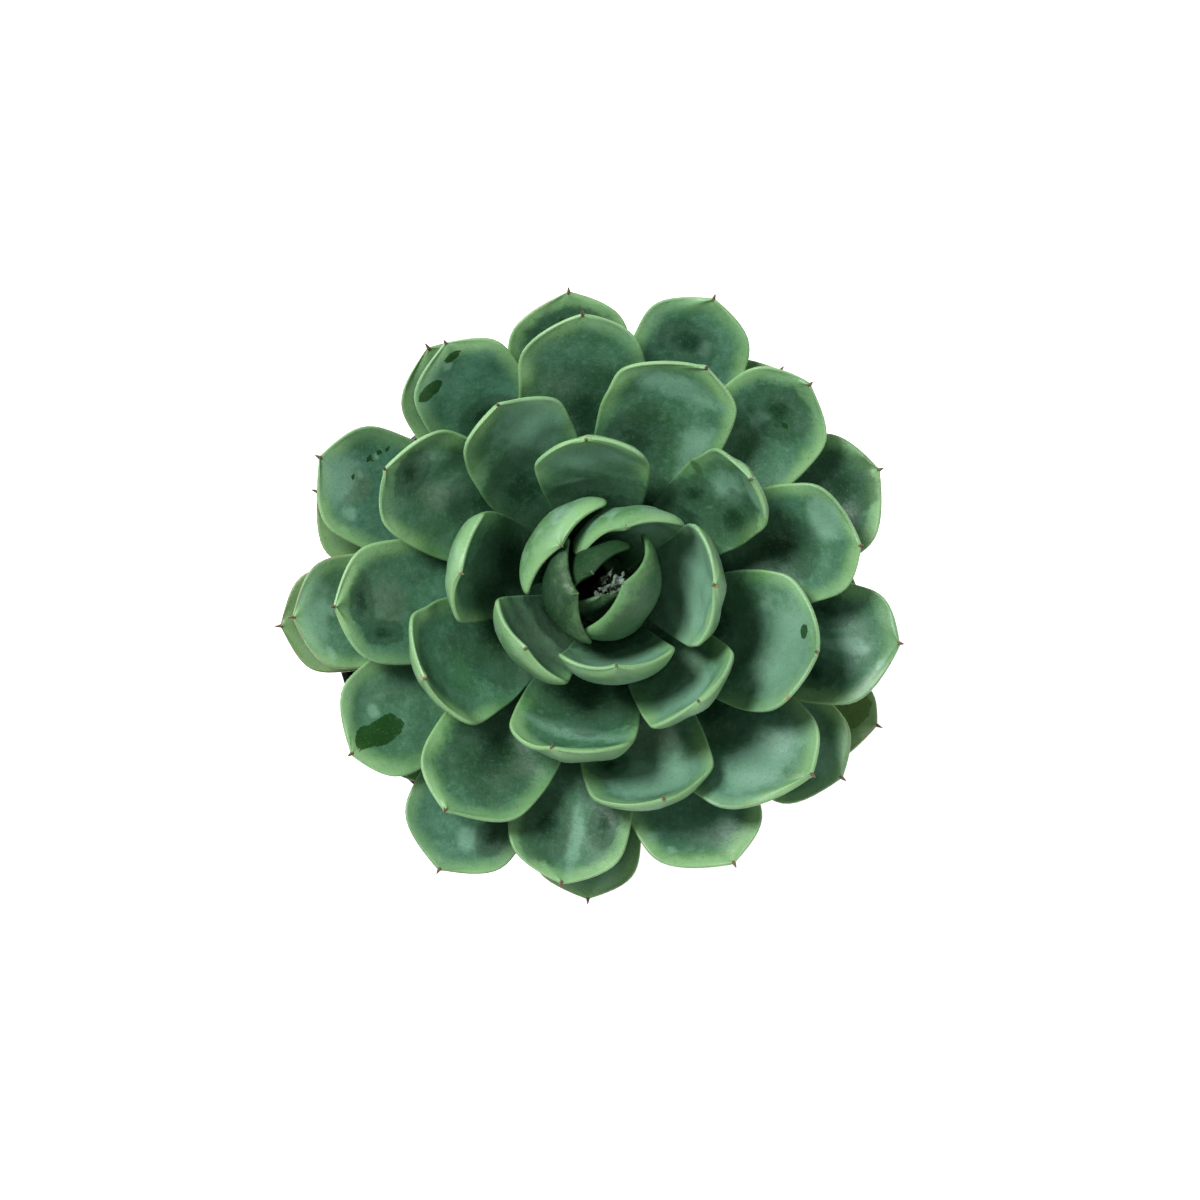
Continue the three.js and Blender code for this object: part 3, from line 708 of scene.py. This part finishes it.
def make_grains(material):
    """Bark, pumice and perlite lying on the potting mix."""
    rng = np.random.default_rng(7)
    ball = bmesh.new()
    bmesh.ops.create_icosphere(ball, subdivisions=2, radius=1)
    base = np.array([v.co[:] for v in ball.verts])
    base_faces = [tuple(v.index for v in f.verts) for f in ball.faces]
    ball.free()
    points, faces, kinds = [], [], []
    room = wall_radius(SOIL_LEVEL) - WALL - GRAIN_MARGIN
    for _ in range(GRAINS):
        r = room * math.sqrt(rng.uniform())
        a = rng.uniform(0, 2 * math.pi)
        x, y = r * math.cos(a), r * math.sin(a)
        kind = rng.choice([0, 0, 0, 1, 1, 2])
        size = rng.uniform(*GRAIN_SIZES)
        if math.hypot(x - PLANT[0], y - PLANT[1]) < STEM_NECK + size + STEM_MARGIN:
            continue
        lumps = 1 + 0.35 * np.sin(base @ rng.normal(0, 2.4, 3) + rng.uniform(0, 6)) * rng.uniform(0.5, 1)
        stretch = rng.uniform(0.55, 1.25, 3) if kind else rng.uniform(0.35, 1.7, 3)
        spin, _ = np.linalg.qr(rng.normal(size=(3, 3)))
        shape = (base * lumps[:, None] * stretch * size) @ spin
        z = SOIL_LEVEL + GRIT_HEIGHT * grit(x, y) + size * 0.25
        faces += [tuple(i + len(points) for i in f) for f in base_faces]
        points += list(shape + [x, y, z])
        kinds += [kind] * len(base)
    grains = mesh_object("soil_grains", points, faces)
    give_field(grains, "kind", kinds)
    place(grains, material, "soil")


def make_stem(material):
    profile = [(0, STEM_FOOT), (STEM_NECK * 0.4, STEM_FOOT + 0.6), (STEM_NECK * 0.9, STEM_FOOT + 8)]
    neck = (STEM_NECK, SOIL_LEVEL + 1)
    crown = [(stem_radius(a) * BARK_SHARE, leaf_height(a)) for a in np.linspace(1, 0, 40)]
    climb = [tuple(mix(p, q, t) for p, q in zip(neck, crown[0])) for t in np.linspace(0.1, 0.9, 10)]
    profile += [neck, *climb, *crown, (0, APEX + 1)]
    stem = lathe_object("stem_bark", profile, STEM_SIDES)
    for v in stem.data.vertices:
        spot = Vector((v.co.x, v.co.y, v.co.z)) / MM
        push = 0.22 * noise.noise(spot * 0.9) + 0.12 * noise.noise(spot * 2.7)
        flat = Vector((v.co.x, v.co.y, 0))
        if flat.length > 0.4 * MM:
            v.co += flat.normalized() * push * MM
    move(stem, PLANT[0], PLANT[1])
    place(stem, material, "stem", "stem")


# --- Materials ---
class Shader:
    """A material's node tree with short ways to add to it."""

    def __init__(self, name):
        self.material = bpy.data.materials.new(name)
        self.material.use_nodes = True
        self.tree = self.material.node_tree
        self.surface = self.tree.nodes["Principled BSDF"]
        self.coords = self.tree.nodes.new("ShaderNodeTexCoord").outputs["Object"]

    def put(self, socket, value):
        if isinstance(value, bpy.types.NodeSocket):
            self.tree.links.new(value, socket)
        else:
            socket.default_value = value

    def field(self, name):
        node = self.tree.nodes.new("ShaderNodeAttribute")
        node.attribute_name = name
        return node.outputs["Fac"]

    def noise(self, scale, detail, rough, stretch=(1, 1, 1), shift=0.0):
        spot = self.tree.nodes.new("ShaderNodeMapping")
        self.put(spot.inputs["Vector"], self.coords)
        spot.inputs["Scale"].default_value = stretch
        spot.inputs["Location"].default_value = (shift, shift * 0.7, -shift)
        node = self.tree.nodes.new("ShaderNodeTexNoise")
        self.put(node.inputs["Vector"], spot.outputs["Vector"])
        node.inputs["Scale"].default_value = scale
        node.inputs["Detail"].default_value = detail
        node.inputs["Roughness"].default_value = rough
        return node.outputs["Fac"]

    def cells(self, scale):
        node = self.tree.nodes.new("ShaderNodeTexVoronoi")
        self.put(node.inputs["Vector"], self.coords)
        node.inputs["Scale"].default_value = scale
        return node.outputs["Distance"]

    def math(self, kind, a, b):
        node = self.tree.nodes.new("ShaderNodeMath")
        node.operation = kind
        self.put(node.inputs[0], a)
        self.put(node.inputs[1], b)
        return node.outputs[0]

    def plus(self, a, b):
        return self.math("ADD", a, b)

    def times(self, a, b):
        return self.math("MULTIPLY", a, b)

    def step(self, value, low, high, start=0.0, end=1.0):
        """A smooth change from start to end as the value goes from low to high."""
        node = self.tree.nodes.new("ShaderNodeMapRange")
        node.interpolation_type = "SMOOTHSTEP"
        names = ("Value", "From Min", "From Max", "To Min", "To Max")
        for name, number in zip(names, (value, low, high, start, end)):
            self.put(node.inputs[name], number)
        return node.outputs[0]

    def blend(self, share, a, b):
        node = self.tree.nodes.new("ShaderNodeMix")
        node.data_type = "RGBA"
        self.put(node.inputs[0], share)
        self.put(node.inputs[6], a if isinstance(a, bpy.types.NodeSocket) else (*a, 1))
        self.put(node.inputs[7], b if isinstance(b, bpy.types.NodeSocket) else (*b, 1))
        return node.outputs[2]

    def over(self, colour, share, amount, tint):
        """The colour with a tint laid over it, as strongly as share times amount."""
        return self.blend(self.times(share, amount), colour, tint)

    def look(self, name, value):
        self.put(self.surface.inputs[name], value)

    def bump(self, height, distance, strength):
        node = self.tree.nodes.new("ShaderNodeBump")
        node.inputs["Distance"].default_value = distance * MM
        node.inputs["Strength"].default_value = strength
        self.put(node.inputs["Height"], height)
        self.put(self.surface.inputs["Normal"], node.outputs["Normal"])


def srgb(*values):
    """The colour with these red, green and blue values, from 0 to 255 as a screen shows them."""
    return tuple((v / 255 / 12.92) if v <= 10 else ((v / 255 + 0.055) / 1.055) ** 2.4 for v in values)


def leaf_material():
    m = Shader("leaf_flesh")
    edge, upper, along = m.field("edge_mm"), m.field("upper"), m.field("along")
    age, whim, sharp = m.field("age"), m.field("whim"), m.field("mucro")
    shade, pale, wet, scar, dust = (m.field(kind) for kind in MARK_KINDS)
    drift = m.step(m.noise(105, 2, 0.5, shift=6), 0.38, 0.62, 0.5, 1.0)
    cloud = m.noise(170, 3, 0.55)
    streak = m.noise(560, 4, 0.62, shift=9)
    mottle = m.noise(1300, 4, 0.62, shift=3)
    grain = m.noise(4300, 2, 0.6, shift=1)
    ragged = m.math("SUBTRACT", streak, 0.5)
    patchy = m.math("SUBTRACT", mottle, 0.5)
    # the upper face: blue-green with wax, greener on some leaves; painted light on the young leaves'
    # faces, and painted shade deepening every face towards its base
    face = m.blend(m.step(cloud, 0.3, 0.7), srgb(46, 90, 56), srgb(60, 108, 82))
    face = m.over(face, m.step(age, 0.3, 0.7), 0.5, srgb(58, 102, 84))
    face = m.over(face, whim, 0.35, srgb(62, 106, 64))
    face = m.over(face, m.step(streak, 0.44, 0.6), 0.3, srgb(84, 126, 106))
    face = m.over(face, m.step(age, 0.27, 0.1), 0.7, srgb(104, 150, 118))
    face = m.over(face, m.step(along, 0.52, 0.22), 0.75, srgb(20, 48, 26))
    grey = m.step(m.plus(dust, m.times(patchy, 0.9)), -0.1, 0.3)
    face = m.over(face, grey, 0.5, srgb(88, 112, 90))
    face = m.over(face, m.step(mottle, 0.5, 0.75), 0.38, srgb(30, 66, 42))
    face = m.over(face, m.step(mottle, 0.5, 0.25), 0.32, srgb(108, 148, 122))
    # the back: paler, with a thicker bloom and yellow-green patches
    back = m.blend(m.step(cloud, 0.3, 0.7), srgb(80, 124, 84), srgb(108, 150, 118))
    back = m.over(back, m.step(streak, 0.42, 0.66), 0.6, srgb(140, 176, 156))
    back = m.over(back, m.step(drift, 0.95, 0.55), 0.45, srgb(82, 128, 64))
    colour = m.blend(upper, back, face)
    # the rounded rim: yellow-green, paling to its very edge
    wander = m.plus(edge, m.times(m.math("SUBTRACT", cloud, 0.5), 3))
    band = m.times(m.step(wander, -0.3, 2.7, 1.0, 0.0), m.step(along, 0.4, 0.75))
    colour = m.over(colour, m.times(band, drift), 0.8, srgb(102, 152, 84))
    near = m.plus(edge, m.times(ragged, 2.5))
    frost = m.times(m.step(near, 0.2, 2.1, 1.0, 0.0), m.step(along, 0.6, 0.8))
    colour = m.over(colour, m.times(frost, drift), 0.45, srgb(150, 190, 140))
    lip = m.step(edge, 0.02, 0.3, 1.0, 0.0)
    colour = m.over(colour, lip, 0.1, srgb(150, 184, 126))
    # the leaves at the heart are a fresher green
    colour = m.blend(m.step(age, 0.11, 0.05, 0.0, 0.5), colour, srgb(46, 102, 42))
    # painted highlights and reflections on the pale marks, partly heavy wax; painted shade and shadow on
    # the shade marks, partly thin wax; a grown leaf's marks are on its upper face
    marked = m.math("MAXIMUM", upper, m.step(age, 0.14, 0.08))
    light = m.plus(pale, m.plus(m.times(ragged, 1.2), m.times(patchy, 0.6)))
    wax_and_highlight = m.times(m.times(m.step(light, -0.3, 0.5), 0.5), marked)
    colour = m.blend(wax_and_highlight, colour, srgb(124, 168, 144))
    dark = m.plus(shade, m.plus(m.times(ragged, 0.8), m.times(patchy, 0.3)))
    # painted shade over the shade marks, partly thin wax
    thin = m.times(m.step(dark, -0.09, 0.18), marked)
    colour = m.over(colour, thin, 0.5, srgb(16, 48, 26))
    # a deeper painted shade at the middle of each shade mark, with less sheen there
    deeper_shade_and_thin_wax = m.times(m.step(dark, 0.4, 0.9), marked)
    colour = m.over(colour, deeper_shade_and_thin_wax, 0.75, srgb(12, 40, 20))
    # rubbed and wetted places, where the wax is gone
    bare = m.times(m.step(m.plus(wet, m.times(ragged, 1.1)), -0.05, 0.05), marked)
    colour = m.over(colour, bare, 0.9, srgb(20, 58, 8))
    # older leaves are more olive, with a reddish edge
    colour = m.over(colour, m.step(age, 0.66, 1.0), 0.5, srgb(106, 130, 76))
    flush = m.times(m.times(lip, m.step(age, 0.5, 0.9)), m.step(streak, 0.42, 0.6))
    colour = m.over(colour, flush, 0.7, srgb(122, 90, 76))
    # small brown scars, and a fine grain of light and dark
    brown = m.step(m.plus(scar, m.times(ragged, 0.3)), -0.05, 0.4)
    colour = m.over(colour, brown, 0.65, srgb(152, 98, 62))
    colour = m.over(colour, m.step(grain, 0.57, 0.8), 0.2, srgb(140, 166, 150))
    colour = m.over(colour, m.step(grain, 0.45, 0.25), 0.36, srgb(20, 46, 30))
    # the sharp tip, browner on older leaves
    point = m.blend(m.step(age, 0.08, 0.3), srgb(74, 92, 52), srgb(104, 82, 64))
    m.look("Base Color", m.blend(sharp, colour, point))
    m.look("Roughness", m.plus(m.step(bare, 0, 1, 0.36, 0.3), m.times(mottle, 0.2)))
    m.look("Subsurface Weight", 0.1)
    m.look("Subsurface Radius", (0.4, 0.9, 0.3))
    m.look("Subsurface Scale", 0.001)
    m.look("Specular IOR Level", m.step(m.math("MAXIMUM", deeper_shade_and_thin_wax, bare), 0, 1, 0.5, 0.15))
    m.bump(m.plus(m.noise(2600, 3, 0.6, shift=2), m.times(mottle, 0.6)), 0.07, 0.5)
    return m.material


def chaff_material():
    m = Shader("dry_chaff")
    fibre = m.noise(2400, 4, 0.65, stretch=(1, 0.3, 1))
    colour = m.blend(m.step(fibre, 0.38, 0.7), srgb(42, 54, 40), srgb(118, 138, 126))
    m.look("Base Color", colour)
    m.look("Roughness", 0.7)
    m.bump(fibre, 0.08, 0.7)
    return m.material


def pot_material():
    m = Shader("pot_plastic")
    grain = m.noise(1400, 4, 0.6)
    dust = m.step(m.noise(220, 4, 0.6, shift=4), 0.5, 0.75)
    colour = m.blend(grain, srgb(14, 14, 15), srgb(26, 27, 29))
    m.look("Base Color", m.over(colour, dust, 0.12, srgb(92, 88, 82)))
    m.look("Roughness", m.step(dust, 0, 1, 0.42, 0.52))
    m.look("Specular IOR Level", 0.35)
    m.bump(grain, 0.05, 0.3)
    return m.material


def soil_material():
    m = Shader("potting_mix")
    crumbs = m.cells(1300)
    peat = m.noise(500, 5, 0.7)
    colour = m.blend(m.step(peat, 0.35, 0.65), srgb(38, 27, 20), srgb(86, 64, 46))
    m.look("Base Color", m.blend(m.step(crumbs, 0.1, 0.5), colour, srgb(58, 42, 30)))
    m.look("Roughness", 0.95)
    m.bump(m.plus(crumbs, peat), 0.5, 0.8)
    return m.material


def grain_material():
    m = Shader("grit_and_bark")
    kind = m.field("kind")
    rough = m.noise(1800, 4, 0.6)
    bark = m.blend(rough, srgb(66, 44, 28), srgb(118, 84, 56))
    pumice = m.blend(rough, srgb(132, 122, 106), srgb(176, 166, 148))
    perlite = m.blend(rough, srgb(206, 204, 196), srgb(236, 234, 228))
    colour = m.blend(m.step(kind, 0.4, 0.6), bark, pumice)
    m.look("Base Color", m.blend(m.step(kind, 1.4, 1.6), colour, perlite))
    m.look("Roughness", 0.9)
    m.bump(rough, 0.2, 0.7)
    return m.material


def stem_material():
    m = Shader("stem_skin")
    patch = m.noise(450, 4, 0.6)
    colour = m.blend(m.step(patch, 0.35, 0.65), srgb(104, 116, 66), srgb(142, 130, 92))
    m.look("Base Color", colour)
    m.look("Roughness", 0.7)
    m.bump(m.noise(1500, 4, 0.6), 0.2, 0.6)
    return m.material


def floor_material():
    m = Shader("pale_floor")
    speck = m.noise(60, 3, 0.5)
    m.look("Base Color", m.blend(speck, srgb(243, 243, 242), srgb(248, 248, 247)))
    m.look("Roughness", 0.8)
    m.look("Emission Color", (1, 1, 1, 1))
    m.look("Emission Strength", FLOOR_GLOW)
    return m.material


# --- Stage: floor, light and camera ---
def make_floor():
    corners = [(x * FLOOR_REACH, y * FLOOR_REACH, 0) for x, y in ((-1, -1), (1, -1), (1, 1), (-1, 1))]
    ground = mesh_object("floor", corners, [(0, 1, 2, 3)])
    ground.data.materials.append(floor_material())


def area_light(name, place_mm, size_mm, power):
    lamp = bpy.data.lights.new(name, "AREA")
    lamp.shape = "DISK"
    lamp.size = size_mm * MM
    lamp.energy = power
    holder = bpy.data.objects.new(name, lamp)
    bpy.context.scene.collection.objects.link(holder)
    holder.location = Vector(place_mm) * MM
    aim = Vector((0, 0, LIGHT_AIM * MM)) - holder.location
    holder.rotation_euler = aim.to_track_quat("-Z", "Y").to_euler()


def make_light():
    world = bpy.data.worlds.new("studio")
    bpy.context.scene.world = world
    world.use_nodes = True
    sky = world.node_tree.nodes["Background"]
    sky.inputs["Color"].default_value = (1, 1, 1, 1)
    sky.inputs["Strength"].default_value = SKY_LIGHT
    area_light("key", place_mm=(-260, 240, 520), size_mm=200, power=4.4)
    area_light("fill", place_mm=(360, -220, 560), size_mm=420, power=1.3)


def make_camera():
    lens = bpy.data.cameras.new("camera")
    lens.angle = math.radians(VIEW_ANGLE)
    lens.clip_start = 0.01
    camera = bpy.data.objects.new("camera", lens)
    bpy.context.scene.collection.objects.link(camera)
    camera.location = Vector(EYE) * MM
    bpy.context.scene.camera = camera
    bpy.context.scene.view_settings.view_transform = "Standard"


make_camera()
make_floor()
make_light()
flesh = leaf_material()
for leaf_number in range(1, LEAF_COUNT + 1):
    make_leaf(leaf_number, flesh)
make_chaff(chaff_material())
make_pot(pot_material())
make_soil(soil_material())
make_grains(grain_material())
make_stem(stem_material())
